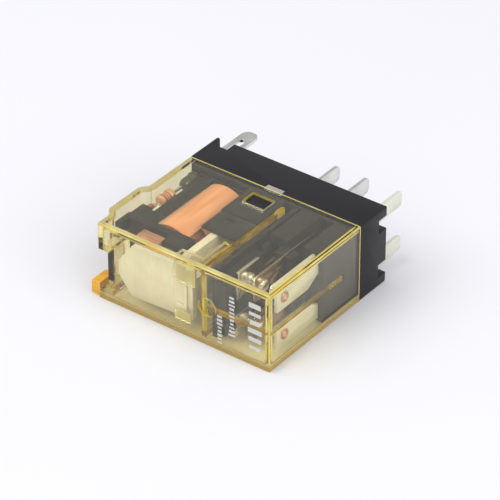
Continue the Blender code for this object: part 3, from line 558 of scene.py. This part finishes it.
# Heights of the painted glow bands along the bottom: amber up to BAND_TOP, paler up to GLOW_TOP.
BAND_TOP, GLOW_TOP = 0.85, 1.3
FLAT_PANE = 0.9995


def box(xs, ys, zs, look=CLEAR):
    bm = bmesh.new()
    middle = Vector((sum(xs) / 2, sum(ys) / 2, sum(zs) / 2))
    size = (xs[1] - xs[0], ys[1] - ys[0], zs[1] - zs[0], 1)
    bmesh.ops.create_cube(bm, size=1, matrix=Matrix.Translation(middle) @ Matrix.Diagonal(size))
    for face in bm.faces:
        face.material_index = look
    return bm


def slab(outline, zs, look=CLEAR):
    """An outline in the drawing's plane, given height."""
    bm = bmesh.new()
    rings = [[bm.verts.new((x, y, z)) for x, y in outline] for z in zs]
    for ring in rings:
        bm.faces.new(ring)
    for i in range(len(outline)):
        j = (i + 1) % len(outline)
        bm.faces.new((rings[0][i], rings[0][j], rings[1][j], rings[1][i]))
    bmesh.ops.recalc_face_normals(bm, faces=bm.faces)
    for face in bm.faces:
        face.material_index = look
    return bm


def bordered(outline, border, zs, look):
    """A slab whose top has a strip along its edge, with `look` over the front and the coil end walls."""
    bm = slab(outline, zs)
    top = next(face for face in bm.faces if face.normal.z > 0.9)
    around = [min(top.verts, key=lambda v: (v.co.xy - Vector(point)).length) for point in outline]
    bmesh.ops.delete(bm, geom=[top], context="FACES_ONLY")
    inner = [bm.verts.new((x, y, zs[1])) for x, y in border]
    bm.faces.new(inner)
    for i in range(len(outline)):
        j = (i + 1) % len(outline)
        face = bm.faces.new((around[i], around[j], inner[j], inner[i]))
        middle = face.calc_center_median()
        face.material_index = look if min(middle.x, middle.y) < WALL else CLEAR
    bmesh.ops.recalc_face_normals(bm, faces=bm.faces)
    return bm


def capsule(x, ys, radius, steps=9):
    """The outline of a slot with round ends, along Y."""
    turns = [math.pi * i / steps for i in range(steps + 1)]
    return ([(x + radius * math.cos(t), ys[1] - radius + radius * math.sin(t)) for t in turns]
            + [(x - radius * math.cos(t), ys[0] + radius - radius * math.sin(t)) for t in turns])


def ribbon(points, thickness, zs, looks):
    """A rib that follows a line of points. Each stretch has its own look."""
    bm = bmesh.new()
    line = [Vector(p) for p in points]
    rings = []
    for i, point in enumerate(line):
        before = (point - line[max(i - 1, 0)]).normalized()
        after = (line[min(i + 1, len(line) - 1)] - point).normalized()
        along = (before + after).normalized()
        reach = thickness / 2 / max(0.3, along.dot(before), along.dot(after))
        side = Vector((-along.y, along.x)) * reach
        rings.append([bm.verts.new((*spot, z)) for spot, z in (
            (point + side, zs[0]), (point - side, zs[0]), (point - side, zs[1]), (point + side, zs[1]))])
    for first, second, look in zip(rings, rings[1:], looks):
        for k in range(4):
            bm.faces.new((first[k], first[(k + 1) % 4], second[(k + 1) % 4], second[k])).material_index = look
    for ring in (rings[0], rings[-1]):
        bm.faces.new(ring).material_index = looks[0]
    return bm


def banded(bm, place, direction, look):
    """Splits the walls at a plane and gives the part beyond it another look."""
    bmesh.ops.bisect_plane(bm, geom=[*bm.verts, *bm.edges, *bm.faces], plane_co=place, plane_no=direction)
    for face in bm.faces:
        beyond = (face.calc_center_median() - Vector(place)).dot(Vector(direction)) > 0
        if beyond and abs(face.normal.dot(Vector(direction))) < 0.5:
            face.material_index = look
    return bm


def rounded(bm, radius, keep=None, segments=3, look=AMBER):
    """Rounds the edges sharper than half a right angle, apart from those that `keep` holds back. The bevels
    get `look`, by default the painted amber glow.
    """
    sharp = [e for e in bm.edges if e.calc_face_angle(0) > math.radians(40) and not (keep and keep(e))]
    bmesh.ops.bevel(bm, geom=sharp, offset=radius, segments=segments, profile=0.5, affect="EDGES",
                    material=look, clamp_overlap=True)
    return bm


def side_outline(inset):
    """The cover seen from above, `inset` in from its outside. It bulges at the coil end."""
    bulge, ramp, fall = 1.0, (2.5, 3.9), (10.2, 12.0)
    steps = 8
    curve = [(inset - bulge * (0.5 + 0.5 * math.cos(math.pi * t / steps)),
              fall[0] + (fall[1] - fall[0]) * t / steps - inset / 4) for t in range(steps, -1, -1)]
    back = DEPTH + (2.0 if inset else 0.0)
    return [(inset, inset), (LENGTH - inset, inset), (LENGTH - inset, back), (inset, back), *curve,
            (inset - bulge, ramp[1] + inset / 4), (inset, ramp[0] + inset / 4)]


def cut_or_joined(target, shapes, operation):
    """One exact Boolean after another, in order. The helpers go once their work is done."""
    for number, shape in enumerate(shapes):
        helper = drawn(f"{target.name}_helper_{number}", shape, *target.data.materials)
        change = target.modifiers.new(helper.name, "BOOLEAN")
        change.operation = operation
        change.solver = "EXACT"
        change.object = helper
    settled(target)
    for helper in [o for o in bpy.data.objects if o.name.startswith(f"{target.name}_helper_")]:
        bpy.data.objects.remove(helper)
    return target


def disc(radius, x, ys, z, segments=40):
    bm = bmesh.new()
    turn = Matrix.Rotation(math.radians(90), 4, "X")
    bmesh.ops.create_cone(bm, cap_ends=True, segments=segments, radius1=radius, radius2=radius,
                          depth=ys[1] - ys[0], matrix=Matrix.Translation((x, sum(ys) / 2, z)) @ turn)
    # The disc's sides get the painted amber glow and its ends the clear look.
    for face in bm.faces:
        face.material_index = AMBER if len(face.verts) == 4 else CLEAR
    return bm


# %% The cover
ROOF = WIDTH - WALL
BACK_RIM = DEPTH - 0.01


def edged(cutter, width):
    """Marks a strip of painted amber glow along the edges that the notch's cutter leaves."""
    (_, right), (_, back), (low, high) = NOTCH
    banded(cutter, (right - width, 0, 0), (1, 0, 0), AMBER)
    banded(cutter, (0, back - width, 0), (0, 1, 0), AMBER)
    banded(cutter, (0, 0, high - width), (0, 0, 1), AMBER)
    return banded(cutter, (0, 0, low + width), (0, 0, -1), AMBER)


def at_rim(edge):
    return all(v.co.y > BACK_RIM for v in edge.verts)


def window(zs):
    """The latch window's cutter. Its coil side and back walls come out in painted amber glow, and the others
    in the pale look with its painted highlight.
    """
    cutter = box(WINDOW_X, WINDOW_Y, zs, PALE)
    middle = Vector((sum(WINDOW_X) / 2, sum(WINDOW_Y) / 2, 0))
    for face in cutter.faces:
        outward = face.calc_center_median() - middle
        if abs(face.normal.z) < 0.5 and outward.y - outward.x > 0:
            face.material_index = AMBER
    return cutter


border = [(x, min(y, DEPTH - 0.5)) for x, y in side_outline(WALL)]
# Painted glow: the roof strips over the front and coil end walls and the side faces up to GLOW_TOP get the
# paler one, and the faces up to BAND_TOP and at the back rim the amber one.
outer = bordered(side_outline(0.0), border, (0.0, WIDTH), GLOW)
banded(outer, (0, 0, GLOW_TOP), (0, 0, -1), GLOW)
banded(outer, (0, 0, BAND_TOP), (0, 0, -1), AMBER)
banded(outer, (0, DEPTH - 0.2, 0), (0, 1, 0), AMBER)
shell = drawn("clear_cover", rounded(outer, EDGE_ROUND, at_rim), *POLYCARBONATE)
notch = edged(box(*NOTCH), 0.22)
windows = [window(zs) for zs in ((-1.0, WALL + 1), (ROOF - 1, WIDTH + 1))]
gate = disc(1.5, 19.05, (-1.0, 0.45), WIDTH / 2)
cut_or_joined(shell, [notch, *windows, gate], "DIFFERENCE")

hollow = drawn("cover_hollow", rounded(slab(side_outline(WALL), (WALL, ROOF)), CORNER_ROUND, segments=2),
               *POLYCARBONATE)
round_notch = box((NOTCH[0][0], NOTCH[0][1] + WALL), (-1.0, NOTCH[1][1] + WALL),
                  (NOTCH[2][0] - WALL, NOTCH[2][1] + WALL))
# The faces cut under the lug get the paler painted glow.
under_lug = box((-3.0, 2.0), (-1.0, 4.2), (-1.0, 3.0), GLOW)
cut_or_joined(hollow, [round_notch, under_lug], "DIFFERENCE")
emptied = shell.modifiers.new("hollow", "BOOLEAN")
emptied.operation, emptied.solver, emptied.object = "DIFFERENCE", "EXACT", hollow
settled(shell)
bpy.data.objects.remove(hollow)

RIB_X, LEVEL_Z, BITE, RIB_HIGH, CLOSE = (17.9, 18.4), (5.75, 6.25), 0.2, 0.9, 0.02
RIPPLE_START, RIPPLE_PITCH, RIPPLE_WIDE, RIPPLES = 14.4, 0.62, 0.3, 5
POCKET = ((13.12, 0.72), (13.17, 2.36), (15.1, 2.5), (16.72, 2.39), (16.74, 7.3), (18.1, 6.9))
BOSSES = (((13.2, 16.8), (8.5, ROOF + BITE)), ((13.2, 16.0), (2.0, 3.7)))
front, deep_front = (WALL - BITE, WALL + 0.6), (WALL - 2 * BITE, WALL + 0.6)
contact_wall = LENGTH - WALL + BITE
ceiling, floor_level = (ROOF - RIB_HIGH, ROOF + BITE), (WALL - BITE, WALL + RIB_HIGH)

# The lug gets the painted deep gold glow, the straight ribs the painted olive glow, the round posts, the rib
# across the front and the ripples the painted amber glow, and the bosses and the pocket's fold the pale look
# with its painted highlight.
ribs = [rounded(box((LUG_END, 2.1), (0.1, 3.4), (0.25, 2.4), DEEP), 0.15, look=DEEP)]
for low, high in (floor_level, ceiling):
    ribs.append(box(RIB_X, (WALL - BITE, 17.6), (low, high), RIB))
    ribs.append(slab(capsule(sum(RIB_X) / 2, (17.0, 19.0), 0.36), (low - 0.01, high + 0.01), AMBER))
ribs.append(box((RIB_X[0] + CLOSE, RIB_X[1] - CLOSE), deep_front, (WALL - 2 * BITE, ROOF + 2 * BITE), AMBER))
ribs.append(box((18.2, contact_wall), front, LEVEL_Z, RIB))
level_side = (LEVEL_Z[0] + CLOSE, LEVEL_Z[1] - CLOSE)
ribs.append(box((28.5, contact_wall), (WALL - BITE + 0.03, 17.5), level_side, RIB))
ripple_high = (LEVEL_Z[0] - 0.08, LEVEL_Z[1] + 0.08)
for number in range(RIPPLES):
    near = RIPPLE_START + RIPPLE_PITCH * number
    ribs.append(box((28.42, contact_wall), (near, near + RIPPLE_WIDE), ripple_high, AMBER))
ribs += [rounded(box(xs, (WALL - 2 * BITE, 1.1), zs, PALE), 0.2, look=PALE) for xs, zs in BOSSES]
# A thin strip of painted amber glow: a painted highlight along the coil side edge of the middle rib.
ribs.append(box((17.6, 17.88), (WALL - BITE, 7.3), (ROOF - 0.45, ROOF + BITE), AMBER))
ribs.append(ribbon(POCKET, 0.16, (ROOF - 0.3, ROOF + BITE), (PALE, PALE, PALE, PALE, AMBER)))
cut_or_joined(shell, ribs, "UNION")
smoothed(shell.data)
for face in shell.data.polygons:
    face.use_smooth = max(abs(part) for part in face.normal) < FLAT_PANE
placed(shell, "housing", "clear_yellow_cover", "cover")
print("cover:", len(shell.data.polygons), "faces")

# %% [markdown]
# ## Things that repeat
#
# A winder lays turn beside turn, and a pad printer lays tick beside tick, so node trees make both from
# a few named sizes. The wound wire is a spiral that a round section follows. Its number of turns comes
# from the space between the flanges and the wire's own thickness. The fine wire of a real coil is too
# thin to show, so the outer layer is drawn with thicker wire.

# %% Trees for wound wire and printed ticks


def tree_with(name, **kinds):
    """A geometry tree with named inputs, and each input's identifier."""
    tree = bpy.data.node_groups.new(name, "GeometryNodeTree")
    new_socket = tree.interface.new_socket
    keys = {label: new_socket(label, in_out="INPUT", socket_type=f"NodeSocket{kind}").identifier
            for label, kind in kinds.items()}
    new_socket("Geometry", in_out="OUTPUT", socket_type="NodeSocketGeometry")
    return tree, keys, add(tree, "NodeGroupInput").outputs


def made_real(tree, shape, finish):
    """Ends a tree: instances become mesh, and the mesh gets its finish."""
    real = add(tree, "GeometryNodeRealizeInstances", {"Geometry": shape})
    looked = add(tree, "GeometryNodeSetMaterial", {"Geometry": real.outputs[0], "Material": finish})
    add(tree, "NodeGroupOutput", {0: looked.outputs[0]})


def grown_by(tree, keys, name, place, turn, finish, smooth_degrees=None, **values):
    """Runs a tree with these values, and leaves the result as an object at the origin."""
    made = new_object(name, bpy.data.meshes.new(name))
    change = made.modifiers.new("grown", "NODES")
    change.node_group = tree
    for label, value in {**values, "Finish": finish}.items():
        change[keys[label]] = value
    settled(made, smooth_degrees)
    made.data.transform(Matrix.Translation(place) @ turn)
    made.data.materials.clear()
    made.data.materials.append(finish)
    return made


wound, wound_keys, given = tree_with(
    "wound_wire", Turns="Float", Radius="Float", Length="Float", Wire="Float", Finish="Material")
spiral = add(wound, "GeometryNodeCurveSpiral", {
    "Resolution": 48, "Rotations": given["Turns"], "Start Radius": given["Radius"],
    "End Radius": given["Radius"], "Height": given["Length"]})
section = add(wound, "GeometryNodeCurvePrimitiveCircle", {"Resolution": 6, "Radius": given["Wire"]})
swept = add(wound, "GeometryNodeCurveToMesh", {
    "Curve": spiral.outputs[0], "Profile Curve": section.outputs[0], "Fill Caps": True})
made_real(wound, swept.outputs[0], given["Finish"])

ticks, tick_keys, given = tree_with(
    "printed_ticks", Count="Int", Pitch="Vector", Size="Vector", Seed="Int", Finish="Material")
line = add(ticks, "GeometryNodeMeshLine", {"Count": given["Count"], "Offset": given["Pitch"]})
tick = add(ticks, "GeometryNodeMeshCube", {"Size": given["Size"]})
uneven = add(ticks, "FunctionNodeRandomValue", {
    0: (0.45, 1.0, 0.6), 1: (1.0, 1.0, 1.0), "Seed": given["Seed"]}, data_type="FLOAT_VECTOR")
laid = add(ticks, "GeometryNodeInstanceOnPoints", {
    "Points": line.outputs[0], "Instance": tick.outputs[0], "Scale": uneven.outputs[0]})
made_real(ticks, laid.outputs[0], given["Finish"])
print(list(wound_keys), list(tick_keys))

# %% The coil's outer layer
COIL_X, COIL_FRONT, COIL_BACK = 7.5, 6.36, 19.64
WOUND_R, TAPE_R, DRAWN_WIRE, SUNK = 4.45, 4.62, 0.075, 0.055
flange_gap = COIL_BACK - COIL_FRONT - 2 * DRAWN_WIRE
turn_count = flange_gap / (2 * DRAWN_WIRE)
FACING_BACK = Matrix.Rotation(math.radians(-90), 4, "X")
layer = grown_by(wound, wound_keys, "wound_layer", at(COIL_X, COIL_FRONT + DRAWN_WIRE, WIDTH / 2),
                 FACING_BACK, ENAMELLED_WIRE, 60, Turns=turn_count, Radius=(WOUND_R - SUNK) * MM,
                 Length=flange_gap * MM, Wire=DRAWN_WIRE * MM)
placed(layer, "housing", "enamelled_copper")
frame["nodes"]["winding"].data.materials.clear()
frame["nodes"]["winding"].data.materials.append(ENAMELLED_WIRE)
print(round(turn_count), "turns,", len(layer.data.polygons), "faces")

# %% The tape


def sheet(radii, ys, degrees, pale=0.0):
    """A curved sheet round the coil. Angles run from straight up towards the contacts, `pale` first."""
    bm = bmesh.new()
    step = 3
    angles = [degrees[0] + step * i for i in range(int((degrees[1] - degrees[0]) / step) + 1)]
    section = ((radii[0], ys[0]), (radii[1], ys[0]), (radii[1], ys[1]), (radii[0], ys[1]))
    rings = []
    for angle in angles:
        across, over = math.sin(math.radians(angle)), math.cos(math.radians(angle))
        rings.append([bm.verts.new((COIL_X + r * across, y, WIDTH / 2 + r * over)) for r, y in section])
    for angle, first, second in zip(angles, rings, rings[1:]):
        for k in range(4):
            face = bm.faces.new((first[k], first[(k + 1) % 4], second[(k + 1) % 4], second[k]))
            face.material_index = 1 if angle < degrees[0] + pale else 0
    if degrees[1] - degrees[0] < 360:
        for ring in (rings[0], rings[-1]):
            bm.faces.new(ring).material_index = 1
    return bm


TAPE_LOOKS = (FILM_TAPE, TAPE_EDGE)
tape = drawn("film_tape", sheet((TAPE_R - 0.12, TAPE_R - 0.04), (6.9, 19.5), (0, 360)), *TAPE_LOOKS)
cut_or_joined(tape, [box((10.3, 13.0), (6.0, 10.3), (5.0, 12.0))], "DIFFERENCE")
smoothed(tape.data)
placed(tape, "housing", "orange_tape", "coil_tape")
overlap = drawn("film_tape_overlap", sheet((TAPE_R - 0.05, TAPE_R), (7.0, 19.4), (-30, 33), 6), *TAPE_LOOKS)
smoothed(overlap.data)
placed(overlap, "housing", "orange_tape")
print("tape:", len(tape.data.polygons), "faces, and", len(overlap.data.polygons), "in its overlap")

# %% [markdown]
# ## Rolled rivets and print
#
# The normally open contacts are hollow rivets. Their shanks are rolled over the back of the plate,
# which leaves a raised copper ring round a dish. The front of the cover has white print beside the
# contacts. It is drawn as plain ticks, with no lettering. A grey tongue of the cover's latch lies on
# the base, behind the cover's back edge.

# %% Rolled rivets
CONTACT_Y, PLATE_BACK, PLATE_FACE, SHANK = 5.0, 28.07, 27.53, 0.45
HEAD, ROLLED, DISH = 0.95, 0.8, 0.12


def lathed(profile, y, z, looks, segments=40):
    """A shape turned about a line along X. The profile's pairs are (x, radius), from axis to axis."""
    bm = bmesh.new()
    turns = [2 * math.pi * i / segments for i in range(segments)]
    rings = [[bm.verts.new((x, y + r * math.cos(t), z + r * math.sin(t))) for t in turns] for x, r in profile]
    for first, second, look in zip(rings, rings[1:], looks):
        for k in range(segments):
            j = (k + 1) % segments
            bm.faces.new((first[k], first[j], second[j], second[k])).material_index = look
    return bm


for side in BOTH:
    low, high = ((v - CORNER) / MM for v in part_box(f"no_contact_{side}"))
    head = [(low.x, 0.0), (low.x, 0.5), (low.x + 0.08, 0.8), (low.x + 0.25, HEAD), (PLATE_FACE, HEAD)]
    shank = [(PLATE_FACE, SHANK), (PLATE_BACK, SHANK)]
    rim = [(PLATE_BACK, ROLLED), (high.x - 0.07, ROLLED), (high.x, 0.72), (high.x, 0.55),
           (high.x - 0.07, 0.45)]
    dish = [(high.x - DISH, 0.4), (high.x - DISH, 0.0)]
    profile = head + shank + rim + dish
    rivet = lathed(profile, CONTACT_Y, (low.z + high.z) / 2, [1] * 4 + [0] * 8 + [1])
    made = drawn(f"rolled_rivet_{side}", rivet, BARE_COPPER, SILVER_ALLOY)
    smoothed(made.data)
    placed(made, "housing", "bare_copper", f"no_contact_{side}")
print("two rolled rivets")

# %% Print on the front
INK = 0.02
TICK_SHARE = 0.62
UNTURNED = Matrix.Identity(4)
ROWS = ((27.3, 3.1, 6, 1.4, 2.4), (23.4, 3.6, 11, 0.62, 1.2), (21.3, 1.5, 8, 0.62, 0.95))
for number, (x, low_z, count, pitch, width) in enumerate(ROWS):
    size = (width * MM, INK * MM, pitch * TICK_SHARE * MM)
    row = grown_by(ticks, tick_keys, f"print_row_{number}", at(x, -INK / 2 + 0.005, low_z), UNTURNED,
                   WHITE_INK, Count=count, Pitch=(0, 0, pitch * MM), Size=size, Seed=number)
    placed(row, "housing", None)
print(len(ROWS), "rows of print")

# %% The latch tongue
tongue_shape = box((13.15, 16.15), (DEPTH + 0.02, 22.05), (12.0, 12.6))
tongue = drawn("latch_tongue", rounded(tongue_shape, 0.05), TONGUE_GREY)
placed(tongue, "housing", "black_moulding")
print("latch tongue:", len(tongue.data.polygons), "faces")

# %% [markdown]
# ## Floor, light and camera
#
# The relay lies on a plain pale surface under soft light from all round, with a large softbox in
# front of it on the coil side and a weaker one on the contact side, which keeps the shadow pale. A
# long lens looks down on the front right corner.

# %% Floor
made, tree, place = material("pale_studio_floor")
haze = add(tree, "ShaderNodeTexNoise", {"Vector": place, "Scale": per(60.0)})
shade = add(tree, "ShaderNodeValToRGB", {"Fac": haze.outputs["Fac"]})
shade.color_ramp.elements[0].color, shade.color_ramp.elements[1].color = linear("#e4e4e8"), linear("#e7e7eb")
body = add(tree, "ShaderNodeBsdfPrincipled", {"Base Color": shade.outputs["Color"], "Roughness": 0.8})
add(tree, "ShaderNodeOutputMaterial", {"Surface": body.outputs[0]})
bm = bmesh.new()
bmesh.ops.create_grid(bm, x_segments=1, y_segments=1, size=1.5)
mesh = bpy.data.meshes.new("studio_floor")
bm.to_mesh(mesh)
bm.free()
floor = new_object("studio_floor", mesh, made)
floor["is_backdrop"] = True

# %% Light
world = bpy.data.worlds.new("soft_studio")
bpy.context.scene.world = world
world.use_nodes = True
world.node_tree.nodes["Background"].inputs["Color"].default_value = linear("#fbfbff")
world.node_tree.nodes["Background"].inputs["Strength"].default_value = 0.635


def softbox(name, place, size, power):
    """A square area light that faces the relay."""
    light = bpy.data.lights.new(name, "AREA")
    light.size = size
    light.energy = power
    made = bpy.data.objects.new(name, light)
    made.location = place
    made.rotation_euler = (-Vector(place)).to_track_quat("-Z", "Y").to_euler()
    bpy.context.scene.collection.objects.link(made)
    return made


softbox("softbox_coil_side", (-0.36, -0.34, 0.70), 0.75, 4.0)
softbox("softbox_contact_side", (0.62, -0.10, 0.50), 0.60, 3.1)

# %% Camera
AZIMUTH, ELEVATION = math.radians(36.915), math.radians(34.586)
DISTANCE = 0.4636
LENS = 239.6
cover_low, cover_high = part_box("cover")
toward = Vector((math.sin(AZIMUTH) * math.cos(ELEVATION), -math.cos(AZIMUTH) * math.cos(ELEVATION),
                 math.sin(ELEVATION)))
camera = bpy.data.objects.new("camera", bpy.data.cameras.new("camera"))
camera.data.lens = LENS
camera.data.sensor_width = 36.0
camera.data.clip_start, camera.data.clip_end = 0.05, 5.0
camera.rotation_mode = "QUATERNION"
camera.rotation_quaternion = (-toward).to_track_quat("-Z", "Y")
right = camera.rotation_quaternion @ Vector((1, 0, 0))
up = camera.rotation_quaternion @ Vector((0, 1, 0))
cover_middle = at(LENGTH / 2, DEPTH / 2, WIDTH / 2)
camera.location = cover_middle + right * 2.93 * MM + up * 1.71 * MM + toward * DISTANCE
bpy.context.scene.collection.objects.link(camera)
bpy.context.scene.camera = camera
bpy.context.scene.view_settings.view_transform = "Standard"
print("camera at", [round(v, 4) for v in camera.location])

# %% Sizes and finish
low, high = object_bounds()
print([round((b - a) / MM, 3) for a, b in zip(low, high)])
